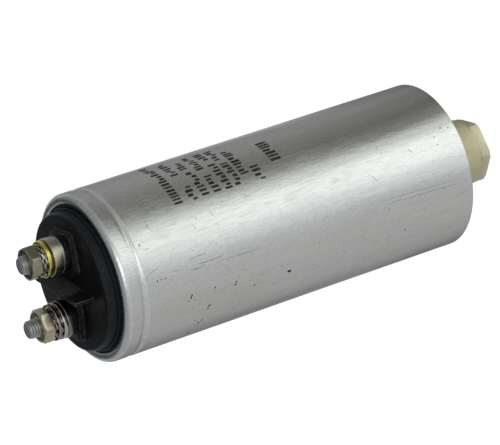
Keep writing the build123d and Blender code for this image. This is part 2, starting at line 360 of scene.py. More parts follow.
def black_moulding():
    """Black thermoset: satin skin with a fine grain, grey dust on upright walls, a paler dull speckled patch on the
    barrier's +X face, pale worn edges partly painted as highlights, a painted highlight on the edges at the barrier's
    end and a painted bluish sheen on the plateau's outer wall.
    """
    s = Shader("black_moulding")
    grain = s.noise(2600.0, 3.0, 0.6)
    cloud = s.noise(120.0, 3.0, 0.5)
    crumbs = s.ramp(s.cells(1100.0), [(0.10, 1.0), (0.42, 0.0)])
    facing = s.split(s.add("ShaderNodeNewGeometry").outputs["Normal"])
    axes = s.split(s.place)
    side = s.math("ABSOLUTE", axes["X"])
    level = s.math("ABSOLUTE", facing["Z"])
    rounding = [(0.3, 0.0), (0.5, 1.0), (0.82, 1.0), (0.95, 0.0)]

    upright = s.span(level, 0.35, 0.75, 1.0, 0.12)
    dust = s.math("MULTIPLY", crumbs, s.ramp(s.noise(300.0, 3.0), [(0.44, 0.0), (0.62, 1.0)]))
    dust = s.math("MULTIPLY", s.math("MULTIPLY", dust, upright), 0.3)

    # a paler, duller, speckled patch on the barrier's +X face, over all but its -Y end
    along = s.math("ADD", axes["Y"], s.math("MULTIPLY", s.noise(260.0, 2.0), 0.004))
    barrier = s.math("MULTIPLY", s.span(side, 0.0007, 0.0009, 1.0, 0.0), s.span(along, -0.0075, -0.0055, 0.0, 1.0))
    barrier = s.math("MULTIPLY", barrier, s.span(facing["X"], 0.3, 0.7, 0.0, 1.0))
    barrier = s.math("MULTIPLY", barrier, s.span(s.noise(1500.0, 3.0, 0.7), 0.38, 0.64, 0.12, 1.0))

    edge = s.ramp(level, rounding)
    reach = s.reach(axes["X"], axes["Y"])
    # pale speckled edges on the pads, necks and barrier: partly wear, partly a painted highlight for the light that
    # the eased edges catch
    worn = s.math("MULTIPLY", edge, s.span(reach, 0.0195, 0.0210, 1.0, 0.0))
    worn = s.math("MULTIPLY", worn, s.span(s.noise(700.0, 3.0, 0.7), 0.42, 0.62, 0.0, 0.55))
    # painted sheen: the plateau's outer wall is made lighter and bluish, for the soft bluish highlight along its
    # rounded edge
    wall = s.math("MULTIPLY", upright, s.span(reach, 0.0205, 0.0218, 0.0, 1.0))

    # painted highlight: the rounded edges at the barrier's -Y end are made pale, partly as dust, for the light lines
    # they catch
    end = s.ramp(s.math("MULTIPLY", axes["Y"], -40.0), [(0.46, 0.0), (0.54, 1.0), (0.62, 1.0), (0.66, 0.0)])
    tip = s.math("MULTIPLY", s.span(side, 0.0009, 0.0011, 1.0, 0.0), end)
    tip = s.math("MULTIPLY", tip, s.math("MAXIMUM", edge, s.ramp(s.math("ABSOLUTE", facing["Y"]), rounding)))

    tone = s.mix(s.span(cloud, 0.3, 0.7, 0.0, 1.0), (0.0055, 0.0055, 0.006), (0.0105, 0.0105, 0.011))
    tone = s.mix(wall, tone, (0.0165, 0.0185, 0.0215))
    tone = s.mix(dust, tone, (0.13, 0.13, 0.125))
    tone = s.mix(worn, tone, (0.09, 0.09, 0.09))
    tone = s.mix(s.math("MULTIPLY", tip, 0.7), tone, (0.16, 0.16, 0.16))
    tone = s.mix(barrier, tone, (0.085, 0.085, 0.082))
    dull = s.math("MULTIPLY", s.math("MAXIMUM", dust, barrier), 0.35)
    rough = s.math("ADD", s.span(cloud, 0.3, 0.7, 0.34, 0.42), dull)
    return s.finish(tone, rough, s.bump(grain, 0.25, 0.03), specular_ior_level=0.1)


def gasket_rubber():
    """Dark rubber sealing ring, rough and a little dusty."""
    s = Shader("gasket_rubber")
    grain = s.noise(1000.0, 4.0, 0.7)
    tone = s.mix(s.span(grain, 0.4, 0.66, 0.0, 1.0), (0.014, 0.014, 0.015), (0.085, 0.085, 0.086))
    return s.finish(tone, s.span(grain, 0.3, 0.7, 0.62, 0.85), s.bump(grain, 0.8, 0.2))


def plated(name, dark, light, tint, rough_low, rough_high, turned=True, foot=None, specks=0.0):
    """Plated metal: faint turning rings, an uneven film of passivation and, if asked, a bare foot or dark specks."""
    s = Shader(name)
    film = s.noise(420.0, 3.0, 0.6)
    stain = s.noise(190.0, 3.0, 0.6, s.scaled(1, 1, 1, (3.1, 1.7, 0.4)))
    rings = s.noise(1.0, 2.0, 0.5, s.scaled(60, 60, 6500)) if turned else s.noise(2400.0, 2.0, 0.5)
    tone = s.mix(s.span(film, 0.3, 0.7, 0.0, 1.0), dark, light)
    tone = s.mix(s.span(stain, 0.48, 0.72, 0.0, 0.5), tone, tint)
    if foot is not None:
        level, colour = foot
        axes = s.split(s.place)
        tone = s.mix(s.span(axes["Z"], (level - 0.06) * MM, (level + 0.06) * MM, 1.0, 0.0), tone, colour)
    if specks:
        spots = s.ramp(s.cells(1500.0), [(0.12, 1.0), (0.3, 0.0)])
        spots = s.math("MULTIPLY", spots, s.ramp(s.noise(500.0, 2.0), [(0.46, 0.0), (0.56, 1.0)]))
        tone = s.mix(s.math("MULTIPLY", spots, specks), tone, (0.02, 0.018, 0.015))
    rough = s.span(stain, 0.3, 0.7, rough_low, rough_high)
    return s.finish(tone, rough, s.bump(rings, 0.08, 0.02), metallic=1.0)


def inner(name, low, high, rough, scale, metallic=0.0, stretch=(1, 1, 1)):
    """Finish for the pieces that are sealed inside the can."""
    s = Shader(name)
    grain = s.noise(scale, 4.0, 0.6, s.scaled(*stretch))
    tone = s.mix(s.span(grain, 0.3, 0.7, 0.0, 1.0), low, high)
    spread = s.span(grain, 0.3, 0.7, rough - 0.06, rough + 0.06)
    return s.finish(tone, spread, s.bump(grain, 0.2, 0.04), metallic=metallic)


def ink():
    """Dull grey marking ink, thin in places."""
    s = Shader("marking_ink")
    wear = s.noise(900.0, 3.0, 0.6)
    tone = s.mix(s.span(wear, 0.4, 0.66, 0.0, 1.0), (0.014, 0.015, 0.014), (0.05, 0.053, 0.05))
    return s.finish(tone, s.span(wear, 0.3, 0.7, 0.5, 0.7), s.bump(wear, 0.1, 0.01), metallic=0.35)


def grime():
    """Black-brown dirt in the specks on the can wall."""
    s = Shader("grime")
    crumb = s.noise(2500.0, 3.0, 0.6)
    tone = s.mix(s.span(crumb, 0.35, 0.65, 0.0, 1.0), (0.006, 0.005, 0.004), (0.035, 0.03, 0.022))
    return s.finish(tone, s.span(crumb, 0.3, 0.7, 0.5, 0.75), s.bump(crumb, 0.3, 0.03))


def scuffed():
    """Dull metal laid open along a hairline scratch."""
    s = Shader("scuffed_aluminium")
    crumb = s.noise(1600.0, 3.0, 0.6)
    tone = s.mix(s.span(crumb, 0.35, 0.65, 0.0, 1.0), (0.20, 0.20, 0.20), (0.44, 0.44, 0.45))
    return s.finish(tone, s.span(crumb, 0.3, 0.7, 0.4, 0.55), s.bump(crumb, 0.3, 0.02), metallic=1.0)


# Pieces

def can(material):
    """Extruded can with its base stud, rolled bead and a rim curled over the deck."""
    r = CAN_R - INK_LIFT
    bead_z = RIM_Z - BEAD_DROP
    curl_z, curl_x = RIM_Z - CURL_R, r - CURL_R
    bore = r - CAN_WALL
    out = [(0.0, 3.4), (4.9, 3.4)] + arc(4.9, 3.5, 0.1, -math.pi / 2, -math.pi / 4, 2)
    out += [(5.95, 4.35), (6.0, 4.5), (6.0, CAN_Z)]
    out += arc(r - CAN_EDGE_R, CAN_Z + CAN_EDGE_R, CAN_EDGE_R, -math.pi / 2, 0.0, 10)
    out += [(r, CAN_Z + CAN_EDGE_R + (bead_z - BEAD_W - CAN_Z - CAN_EDGE_R) * k / 24) for k in range(1, 25)]
    for k in range(25):
        t = -1 + k / 12
        out.append((r - BEAD_DEPTH * (0.5 + 0.5 * math.cos(math.pi * t)), bead_z + BEAD_W * 0.48 * t))
    out += arc(curl_x, curl_z, CURL_R, 0.0, CURL_SWEEP, 22)
    lip = arc(curl_x, curl_z, CURL_R - CAN_WALL, CURL_SWEEP, 0.0, 14)
    mid = CURL_R - CAN_WALL / 2
    nose = (curl_x + mid * math.cos(CURL_SWEEP), curl_z + mid * math.sin(CURL_SWEEP))
    along = (math.cos(CURL_SWEEP + math.pi / 2), math.sin(CURL_SWEEP + math.pi / 2))
    for k in (0.3, 0.0, -0.3):
        out.append((
            nose[0] + along[0] * 0.12 + math.cos(CURL_SWEEP) * k,
            nose[1] + along[1] * 0.12 + math.sin(CURL_SWEEP) * k,
        ))
    out += lip + [(bore, 140.0), (bore, CAN_Z + 3.5)]
    out += arc(bore - 1.5, CAN_Z + 3.5, 1.5, 0.0, -math.pi / 2, 5) + [(0.0, CAN_Z + 2.0)]

    def shift(i, angle, rad, z):
        if rad < r - 3 or z < CAN_Z + 3:
            return 0.0, 0.0
        p = Vector((math.cos(angle) * 1.7, math.sin(angle) * 1.7, z * 0.02))
        sink = min(0.0, noise.noise(p) * 0.03 - 0.03)
        if z <= RIM_Z - 2.2:
            return sink, 0.0
        wavy = noise.noise(Vector((math.cos(angle) * 5, math.sin(angle) * 5, 7.0))) * 0.05
        return sink, wavy - 0.05

    verts, faces = lathe_data(out, 288, closed=True, shift=shift)
    return dress(make_object("can_shell", verts, faces, 38.0), "can", material)


def hex_radius(angle, flats, turn, ease):
    """Radius of a hexagon with eased corners at an angle."""
    a = (angle - turn + math.pi / 6) % (math.pi / 3) - math.pi / 6
    straight = flats / 2 / math.cos(a)
    corner = flats / math.sqrt(3)
    knee = corner - ease
    return straight if straight < knee else knee + (straight - knee) * 0.45


def hex_angles(turn, per_side):
    """Angles round a hexagon, crowded towards its corners; a flat's middle is at the turn angle."""
    out = []
    for side in range(6):
        for k in range(per_side):
            t = (k + 0.5) / per_side * 2 - 1
            t = math.copysign(1 - (1 - abs(t)) ** 1.7, t)
            out.append(turn + side * math.pi / 3 + t * math.pi / 6)
    return out


def ring_rows(rows, count):
    """Faces between successive closed rings of the same count."""
    faces = []
    for i in range(rows - 1):
        for k in range(count):
            j = (k + 1) % count
            faces.append((i * count + k, i * count + j, (i + 1) * count + j, (i + 1) * count + k))
    return faces


def hex_nut(name, x, z, turn_deg):
    """Hexagon nut with chamfered faces, eased corners and countersunk mouths."""
    height, bearing, bore = NUT_HEIGHT, 4.7, 2.72
    turn = math.radians(turn_deg)
    angles = hex_angles(turn, 26)
    fall = math.tan(math.radians(30.0))
    hexa = {a: hex_radius(a, NUT_FLATS, turn, 0.28) for a in angles}

    def drop(a):
        return max(0.0, hexa[a] - bearing) * fall

    def fixed(*points):
        return [lambda a, p=point: p for point in points]

    levels = fixed((bore, 0.4), (bore, height - 0.4), (bore + 0.06, height - 0.28), (bore + 0.34, height - 0.03))
    levels += fixed((bore + 0.45, height), (bearing - 0.14, height), (bearing + 0.02, height - 0.035))
    for share in (0.35, 0.7, 0.9):
        levels.append(lambda a, t=share: (bearing + (hexa[a] - bearing) * t, height - drop(a) * t - 0.01))
    levels.append(lambda a: (hexa[a] - 0.02, height - drop(a) - 0.03))
    levels.append(lambda a: (hexa[a], height - drop(a) - 0.14))
    for share in (0.25, 0.5, 0.75):
        levels.append(lambda a, t=share: (hexa[a], height - drop(a) - 0.14 - t * (height - 2 * drop(a) - 0.28)))
    levels.append(lambda a: (hexa[a], drop(a) + 0.14))
    levels.append(lambda a: (hexa[a] - 0.02, drop(a) + 0.03))
    for share in (0.9, 0.5):
        levels.append(lambda a, t=share: (bearing + (hexa[a] - bearing) * t, drop(a) * t + 0.01))
    levels += fixed((bearing + 0.02, 0.035), (bearing - 0.14, 0.0), (bore + 0.4, 0.0), (bore, 0.4))
    verts = []
    for level in levels:
        for a in angles:
            r, h = level(a)
            verts.append((x + r * math.cos(a), r * math.sin(a), z + h))
    faces = ring_rows(len(levels), len(angles))
    return make_object(name, verts, faces, 24.0)


def thread_stud(name, x, nut_top):
    """Headed stud: plain shank in the deck, rolled thread above, chamfered and slightly dished tip."""
    pitch, depth, around = 1.0, 0.58, 72
    start, tip = NECK_Z, STUD_TIP_Z
    head = [(0.0, BOSS_Z - 2.5), (5.3, BOSS_Z - 2.5), (5.5, BOSS_Z - 2.3), (5.5, BOSS_Z - 0.1)]
    head += [(5.4, BOSS_Z), (STUD_R, BOSS_Z), (STUD_R - 0.02, start - 0.4)]
    count = int((tip - start) / pitch * 16)
    verts = []
    for r, z in head:
        verts += circle(x, r, z, around)
    rows = len(head)
    for i in range(count + 1):
        z = start + (tip - start) * i / count
        for k in range(around):
            a = TAU * k / around
            t = ((z - start) / pitch - k / around) % 1.0
            wave = abs(t - 0.5) * 2
            crest = min(1.0, max(0.0, (wave - 0.18) / 0.64))
            crest = crest * crest * (3 - 2 * crest) * 0.4 + crest * 0.6
            r = STUD_R - depth * crest - 0.01
            r = min(r, STUD_R - 0.02 - max(0.0, 0.55 - (tip - z)) * 0.9)
            if nut_top - 3.8 < z < nut_top - 0.3:
                r = min(r, 2.66)
            verts.append((x + r * math.cos(a), r * math.sin(a), z))
        rows += 1
    for r, z in ((2.35, tip), (2.2, tip - 0.015), (1.2, tip - 0.05), (0.5, tip - 0.075), (0.0, tip - 0.08)):
        verts += circle(x, r, z, around)
        rows += 1
    return make_object(name, verts, ring_rows(rows, around), 40.0)


def washer(name, node, x, r, z_low, z_high, ease, material):
    """Turned ring with eased edges."""
    outline = [(WASHER_BORE, z_low), (r, z_low), (r, z_high), (WASHER_BORE, z_high)]
    outline = eased(outline, [0.08, ease, ease, 0.08], 6)
    verts, faces = lathe_data(outline, 160, x)
    return dress(make_object(name, verts, faces, 40.0), node, material)


def stepped_collar(material):
    """Tall collar and the narrower step under the yellow washer."""
    low, high = node_z("tall_collar")
    foot, body_top = low + COLLAR_FOOT, high - 0.6
    r, groove_r, waist = 6.1, 5.98, 4.4
    outline = [(WASHER_BORE, low), (r, low), (r, foot), (groove_r, foot + 0.07), (groove_r, foot + 0.17)]
    outline += [(r, foot + 0.24), (r, body_top), (waist, body_top), (waist, high), (WASHER_BORE, high)]
    outline = eased(outline, [0.08, 0.25, 0.04, 0.02, 0.02, 0.04, 0.32, 0.1, 0.06, 0.08], 6)
    verts, faces = lathe_data(outline, 176, STUD_X)
    return dress(make_object("tall_collar_ring", verts, faces, 40.0), "tall_collar", material)


def rounded_rect(x_half, y_half, r, steps):
    """Outline of a rectangle with rounded corners, in order round it."""
    out = []
    for cx, cy, start in ((1, 1, 0), (-1, 1, 1), (-1, -1, 2), (1, -1, 3)):
        for k in range(steps + 1):
            a = math.pi / 2 * (start + k / steps)
            out.append((cx * (x_half - r) + r * math.cos(a), cy * (y_half - r) + r * math.sin(a)))
    return out


def stacked(rings):
    """Vertices and faces of rings of equal count, capped at the top."""
    verts, count = [], len(rings[0])
    for ring in rings:
        verts += ring
    faces = ring_rows(len(rings), count)
    faces.append(tuple((len(rings) - 1) * count + k for k in range(count)))
    return verts, faces


def pad_data(x, turn_deg):
    """Square flared pad, turned about its stud, with an eased top edge and a soft foot."""
    half, corner, rise, flare, ease = 6.45, 2.0, 1.7, 0.55, 0.35
    c, d = math.cos(math.radians(turn_deg)), math.sin(math.radians(turn_deg))
    marks = [(flare + 0.32, -0.25), (flare + 0.28, 0.0), (flare + 0.05, 0.09), (flare * 0.86, 0.24)]
    marks += [(flare * 0.5, rise * 0.5), (flare * 0.2, rise - ease), (0.06, rise - 0.17)]
    marks += [(-0.06, rise - 0.05), (-0.25, rise)]
    rings = []
    for out, up in marks:
        loop = rounded_rect(half + out, half + out, corner + out, 10)
        rings.append([(x + px * c - py * d, px * d + py * c, PLATEAU_Z + up) for px, py in loop])
    return stacked(rings)


def barrier_data():
    """Thin wall across the plateau with eased edges and a soft foot."""
    half_t, half_l, ease = 0.55, 15.0, 0.3
    top = PLATEAU_Z + BARRIER_RISE
    rings = []
    marks = [(0.45, -0.3), (0.4, 0.02), (0.12, 0.12), (0.03, 0.4), (0.0, 0.8)]
    for out, up in marks:
        rings.append([(px, py, PLATEAU_Z + up) for px, py in rounded_rect(half_t + out, half_l + out, ease + out, 6)])
    for k in range(1, 7):
        a = math.pi / 2 * k / 6
        out = -ease * (1 - math.cos(a))
        loop = rounded_rect(half_t + out, half_l + out, max(0.02, ease + out), 6)
        rings.append([(px, py, top - ease + ease * math.sin(a)) for px, py in loop])
    return stacked(rings)


def terminal_deck(material):
    """Moulded lid: turned shell, two flared pads with their necks, and the barrier wall."""
    under = PLATEAU_Z - 3.5
    outline = [
        (0.0, PLATEAU_Z), (PLATEAU_R, PLATEAU_Z), (PLATEAU_FOOT_R, FLANGE_TOP_Z), (FLANGE_R, FLANGE_TOP_Z),
        (FLANGE_R, FLANGE_Z), (SKIRT_R, FLANGE_Z), (SKIRT_R, SKIRT_END_Z), (SKIRT_R - SKIRT_WALL, SKIRT_END_Z),
        (SKIRT_R - SKIRT_WALL, under), (0.0, under),
    ]
    outline = eased(outline, [0, 1.0, 0.4, 0.2, 0.1, 0.1, 0.2, 0.2, 0.4, 0], 9)
    shell = lathe_data(outline, 224)
    sets = [shell, pad_data(STUD_X, PAD_TURNS[0]), pad_data(-STUD_X, PAD_TURNS[1]), barrier_data()]
    boss_r, boss_top, hole = 6.5, 152.0, STUD_R + 0.1
    neck = [(hole, BOSS_Z), (boss_r, BOSS_Z), (boss_r, boss_top), (NECK_R, boss_top), (NECK_R, NECK_Z), (hole, NECK_Z)]
    neck = eased(neck, [0, 0, 0, 0, 0.15, 0.1], 4)
    sets += [lathe_data(neck, 128, x) for x in (STUD_X, -STUD_X)]
    return dress(make_object("deck_moulding", *join_data(*sets), 34.0), "terminal_deck", material)


def deck_gasket(material):
    """Rubber ring in the trough between plateau and lip, its skin uneven."""
    low, high = node_z("deck_gasket")
    inner_r, outer_r = PLATEAU_FOOT_R + 0.1, 25.8
    outline = eased([(inner_r, low), (outer_r, low), (outer_r, high), (inner_r, high)], [0.1, 0.1, 0.3, 0.35], 5)
    top = [(inner_r + 0.4 + k * 0.12, high) for k in range(20, -1, -1)]
    outline = [p for p in outline if p[1] < high - 1e-6 or p[0] > outer_r - 0.31 or p[0] < inner_r + 0.36]
    merged = []
    for p in outline:
        merged.append(p)
        if abs(p[1] - high) < 1e-6 and p[0] > outer_r - 0.32:
            merged += [q for q in top if inner_r + 0.36 < q[0] < outer_r - 0.31]

    def shift(i, angle, r, z):
        if z < high - 0.5:
            return 0.0, 0.0
        p = Vector((r * math.cos(angle), r * math.sin(angle), 3.0))
        return 0.0, -0.07 + 0.09 * noise.noise(p * 1.3) + 0.05 * noise.noise(p * 3.1)

    verts, faces = lathe_data(merged, 420, shift=shift)
    return dress(make_object("gasket_ring", verts, faces, 50.0), "deck_gasket", material)


def base_nut(material):
    """Nylon nut: round collar, hexagon at the free end, thread in the open mouth."""
    length, hex_len, outer, flats = 19.4, 4.1, 11.0, 19.0
    turn = math.radians(BASE_NUT_TURN)
    angles = hex_angles(turn, 30)
    hexa = {a: min(outer, hex_radius(a, flats, turn, 0.0)) for a in angles}
    bore = 6.1
    levels = [lambda a: (bore, length - 0.05), lambda a: (bore + 0.3, length)]
    levels += [lambda a: (outer - 0.4, length), lambda a: (outer - 0.1, length - 0.1), lambda a: (outer, length - 0.4)]
    for k in range(1, 9):
        levels.append(lambda a, t=k / 8: (outer, length - 0.4 - (length - 0.8 - hex_len) * t))
    levels.append(lambda a: (outer - 0.08, hex_len + 0.12) if hexa[a] < outer - 0.1 else (outer, hex_len + 0.12))
    levels.append(lambda a: (max(hexa[a], outer - 0.3), hex_len + 0.01))
    levels.append(lambda a: (hexa[a] + min(0.12, outer - hexa[a]), hex_len))
    levels.append(lambda a: (hexa[a], hex_len - 0.12))
    for k in range(1, 5):
        levels.append(lambda a, t=k / 4: (hexa[a], hex_len - 0.12 - (hex_len - 0.12 - 0.9) * t))

    def cone(a, z):
        return min(hexa[a], outer - 0.8 + z)

    for mark in (0.75, 0.35, 0.1):
        levels.append(lambda a, z=mark: (cone(a, z), z))
    levels.append(lambda a: (cone(a, 0.0) - 0.15, 0.0))
    levels += [lambda a: (bore + 0.95, 0.0), lambda a: (bore + 0.8, 0.06)]
    verts = []
    for level in levels:
        for a in angles:
            r, z = level(a)
            verts.append((r * math.cos(a), r * math.sin(a), z))
    rows = len(levels)
    steps, pitch = 40, 1.75
    for i in range(steps + 1):
        z = 0.06 + 3.2 * i / steps
        for a in angles:
            t = (z / pitch + a / TAU) % 1.0
            crest = min(1.0, max(0.0, (abs(t - 0.5) * 2 - 0.2) / 0.6))
            r = bore - 0.75 * crest * min(1.0, max(0.0, (z - 0.2) / 0.9))
            r = max(r, bore + 0.8 - z * 1.15)
            verts.append((r * math.cos(a), r * math.sin(a), z))
        rows += 1
    for r, z in ((bore, 3.3), (bore, length - 0.05)):
        verts += [(r * math.cos(a), r * math.sin(a), z) for a in angles]
        rows += 1
    obj = make_object("base_nut_moulding", verts, ring_rows(rows, len(angles)), 26.0)
    return dress(obj, "base_nut", material)


def print_rows(material):
    """Rows of short ink bars on the can wall."""
    verts, faces = [], []
    rng = random.Random(7)
    for z, start, end, tall in PRINT_ROWS:
        at = start
        while at < end - 0.8:
            wide = min(rng.uniform(1.2, 2.4), end - at)
            low, high = rng.choice(((-0.5, 0.5), (-0.5, 0.5), (-0.5, 0.1), (-0.2, 0.5)))
            base = len(verts)
            for k in range(3):
                a = math.radians(at + wide * k / 2)
                for up in (low * tall, high * tall):
                    verts.append((CAN_R * math.cos(a), CAN_R * math.sin(a), z + up))
            faces += [(i, i + 2, i + 3, i + 1) for i in (base, base + 2)]
            at += wide + rng.uniform(1.0, 1.9)
    return dress(make_object("marking_rows", verts, faces), None, material)


# Rows of ink bars as middle height, first and last azimuth in degrees, and height of a bar
PRINT_ROWS = (
    (122.0, -34.8, 14.9, 2.8), (116.6, -35.5, -22.0, 2.6), (116.8, -11.0, 10.2, 2.6), (112.2, -34.7, -11.0, 2.6),
    (112.6, -7.5, 4.0, 2.6), (107.9, -34.9, -20.0, 2.6), (108.1, -13.0, 7.5, 2.6), (103.8, -35.5, -10.0, 2.6),
    (104.0, -5.0, 8.1, 2.6), (100.0, -35.1, -14.0, 2.6), (100.2, -9.0, 7.3, 2.6), (96.1, -28.5, -1.3, 2.9),
    (92.0, -36.4, -24.4, 2.9), (83.6, -25.8, -4.2, 3.6),
)

# Specks on the can wall as azimuth in degrees, height and half length
SPECKS = (
    (-103.7, 91.1, 0.74), (-97.6, 110.9, 0.36), (-99.4, 111.2, 0.42), (-105.2, 104.0, 0.34), (-96.7, 118.6, 0.34),
    (-96.4, 127.1, 0.4), (-97.9, 127.4, 0.45), (-100.0, 128.2, 0.28), (-100.7, 125.9, 0.22), (-109.5, 120.5, 0.5),
    (-111.8, 120.9, 0.4), (-124.0, 123.2, 0.48), (-122.3, 122.1, 0.4), (-120.1, 124.7, 0.25), (-136.4, 125.1, 0.4),
    (-78.7, 138.5, 0.34), (-78.6, 137.1, 0.28), (-78.6, 135.6, 0.28), (-53.2, 140.9, 0.34), (-56.2, 113.2, 0.22),
    (-46.5, 28.8, 0.24), (-41.8, 25.1, 0.3), (-43.3, 22.4, 0.26), (-52.2, 28.8, 0.22), (-102.3, 46.7, 0.3),
    (68.0, 61.0, 0.4), (121.0, 97.0, 0.34), (151.0, 44.0, 0.3), (95.0, 118.0, 0.26),
)

# Hairlines on the can wall as a width and points of azimuth and height
HAIRLINES = (
    (0.26, (-76.7, 123.7), (-76.9, 119.4), (-76.6, 114.4)), (0.24, (-78.6, 126.8), (-79.2, 124.3), (-78.6, 121.5)),
    (0.2, (-71.9, 126.4), (-71.5, 122.7), (-71.4, 120.1)), (0.16, (-79.1, 115.9), (-79.9, 108.7), (-79.7, 100.9)),
    (0.2, (-76.2, 132.7), (-76.5, 130.2)), (0.16, (-39.5, 135.8), (-44.2, 135.7), (-47.5, 134.6)),
    (0.18, (-51.2, 121.3), (-54.7, 120.8)), (0.18, (-41.6, 100.9), (-44.9, 99.9), (-44.3, 98.1)),
    (0.16, (-47.2, 113.7), (-49.9, 113.6)), (0.16, (-47.0, 119.5), (-49.1, 119.1)),
    (0.18, (-48.7, 39.6), (-52.0, 38.6)), (0.14, (-63.5, 54.0), (-60.0, 55.3), (-56.2, 56.8)),
    (0.2, (-56.7, 140.3), (-56.9, 137.8)), (0.16, (-73.3, 141.6), (-69.8, 136.5)),
    (0.1, (-76.4, 55.5), (-76.9, 47.8), (-77.6, 38.1), (-79.2, 23.2)),
    (0.09, (-79.5, 53.9), (-80.4, 40.3), (-81.9, 22.3)),
    (0.16, (84.0, 70.0), (86.0, 82.0)), (0.16, (140.0, 110.0), (133.0, 116.0)),
    (0.16, (172.0, 58.0), (174.0, 73.0)),
)


def wall_point(azimuth, z):
    """Point just clear of the can's skin."""
    r, a = CAN_R - INK_LIFT / 2, math.radians(azimuth)
    return r * math.cos(a), r * math.sin(a), z


def wall_specks(material):
    """Small ragged flecks of dirt on the can wall."""
    verts, faces = [], []
    rng = random.Random(11)
    for azimuth, z, size in SPECKS:
        lean, sides = rng.uniform(0.0, math.pi), 11
        base = len(verts)
        for k in range(sides):
            a = TAU * k / sides
            u = 1.08 * size * math.cos(a) * rng.uniform(0.75, 1.1)
            v = 0.66 * size * math.sin(a) * rng.uniform(0.7, 1.15)
            du, dv = u * math.cos(lean) - v * math.sin(lean), u * math.sin(lean) + v * math.cos(lean)
            verts.append(wall_point(azimuth + math.degrees(du / CAN_R), z + dv))
        faces.append(tuple(range(base, base + sides)))
    return dress(make_object("wall_specks", verts, faces), None, material)


def wall_hairlines(material):
    """Fine tapered scratches on the can wall."""
    verts, faces = [], []
    rng = random.Random(5)
    for width, *points in HAIRLINES:
        path = []
        for (a0, z0), (a1, z1) in zip(points, points[1:]):
            path += [(a0 + (a1 - a0) * k / 7, z0 + (z1 - z0) * k / 7) for k in range(7)]
        path.append(points[-1])
        base, n = len(verts), len(path)
        for i, (azimuth, z) in enumerate(path):
            ahead, behind = path[min(i + 1, n - 1)], path[max(i - 1, 0)]
            along = Vector((math.radians(ahead[0] - behind[0]) * CAN_R, ahead[1] - behind[1])).normalized()
            half = width / 2 * math.sqrt(max(0.02, math.sin(math.pi * i / (n - 1)))) * rng.uniform(0.55, 1.0)
            for off in (-half, half):
                verts.append(wall_point(azimuth + math.degrees(-along.y * off / CAN_R), z + along.x * off))
        for i in range(n - 1):
            j = base + 2 * i
            faces.append((j, j + 2, j + 3, j + 1))
    return dress(make_object("wall_hairlines", verts, faces), None, material)


# Studio

def floor():
    """Pale floor, white to the camera; it glows with painted light and shade by direction, which lights the object;
    mirror rays see these tones, and white only where the camera does and away from the base, where the fade is a
    painted shadow.
    """
    mesh = bpy.data.meshes.new("studio_floor")
    size, n = 4.0, 8
    marks = [-size + 2 * size * k / n for k in range(n + 1)]
    corners = [j * (n + 1) + i for j in range(n) for i in range(n)]
    verts = [(x, y, 0.0) for y in marks for x in marks]
    mesh.from_pydata(verts, [], [(k, k + 1, k + n + 2, k + n + 1) for k in corners])
    obj = bpy.data.objects.new("studio_floor", mesh)
    scene.collection.objects.link(obj)
    s = Shader("studio_floor")
    x, y, _ = s.split(s.place)
    around = s.by_azimuth(x, y, [(at, tuple(v * t for t in tint)) for at, v, tint in FLOOR_TONES])
    reach = s.reach(x, y)
    # far off, the floor glows with the surround's horizon tones, painted light like its nearer tones
    far = s.by_azimuth(x, y, LOW_TONES)
    around = s.mix(s.span(reach, 0.42, 0.95, 0.0, 1.0, "SMOOTHSTEP"), around, far)
    # painted shadow: mirror rays see the toned floor instead of white within 0.08 to 0.17 m of the axis, a shadow of
    # the object seen only in reflections
    sheet = s.span(reach, 0.08, 0.17, 0.0, 1.0, "SMOOTHSTEP")
    for px, py, nx, ny, near, clear in SHEET_SIDES:
        beyond = s.math("MULTIPLY", s.math("SUBTRACT", x, px), nx)
        beyond = s.math("ADD", beyond, s.math("MULTIPLY", s.math("SUBTRACT", y, py), ny))
        sheet = s.math("MULTIPLY", sheet, s.span(beyond, near, clear, 1.0, 0.0, "SMOOTHSTEP"))
    rays = s.add("ShaderNodeLightPath").outputs
    mirrored = s.math("MULTIPLY", sheet, s.math("MAXIMUM", rays["Is Glossy Ray"], rays["Is Transmission Ray"]))
    white = s.math("MAXIMUM", rays["Is Camera Ray"], mirrored)
    tone = s.mix(white, around, (1.0, 1.0, 1.0))
    paper = s.noise(60.0, 3.0)
    tone = s.mix(s.span(paper, 0.3, 0.7, 0.0, 0.03), tone, (0.9, 0.9, 0.9), "MULTIPLY")
    s.feed(s.bsdf.inputs["Base Color"], s.mix(0.75, tone, (0.0, 0.0, 0.0)))
    s.bsdf.inputs["Roughness"].default_value = 0.9
    s.bsdf.inputs["Specular IOR Level"].default_value = 0.1
    s.link(tone, s.bsdf.inputs["Emission Color"])
    s.bsdf.inputs["Emission Strength"].default_value = 1.0
    obj.data.materials.append(s.mat)


# Sides of the floor that the camera sees: a point, the outward direction, and where the white starts and ends fading
SHEET_SIDES = (
    (0.058, -0.020, 0.964, 0.267, 0.0, 0.035),
    (-0.109, -0.008, -0.9225, -0.386, -0.055, 0.005),
    (0.058, -0.020, -0.0717, -0.9976, 0.0, 0.012),
)

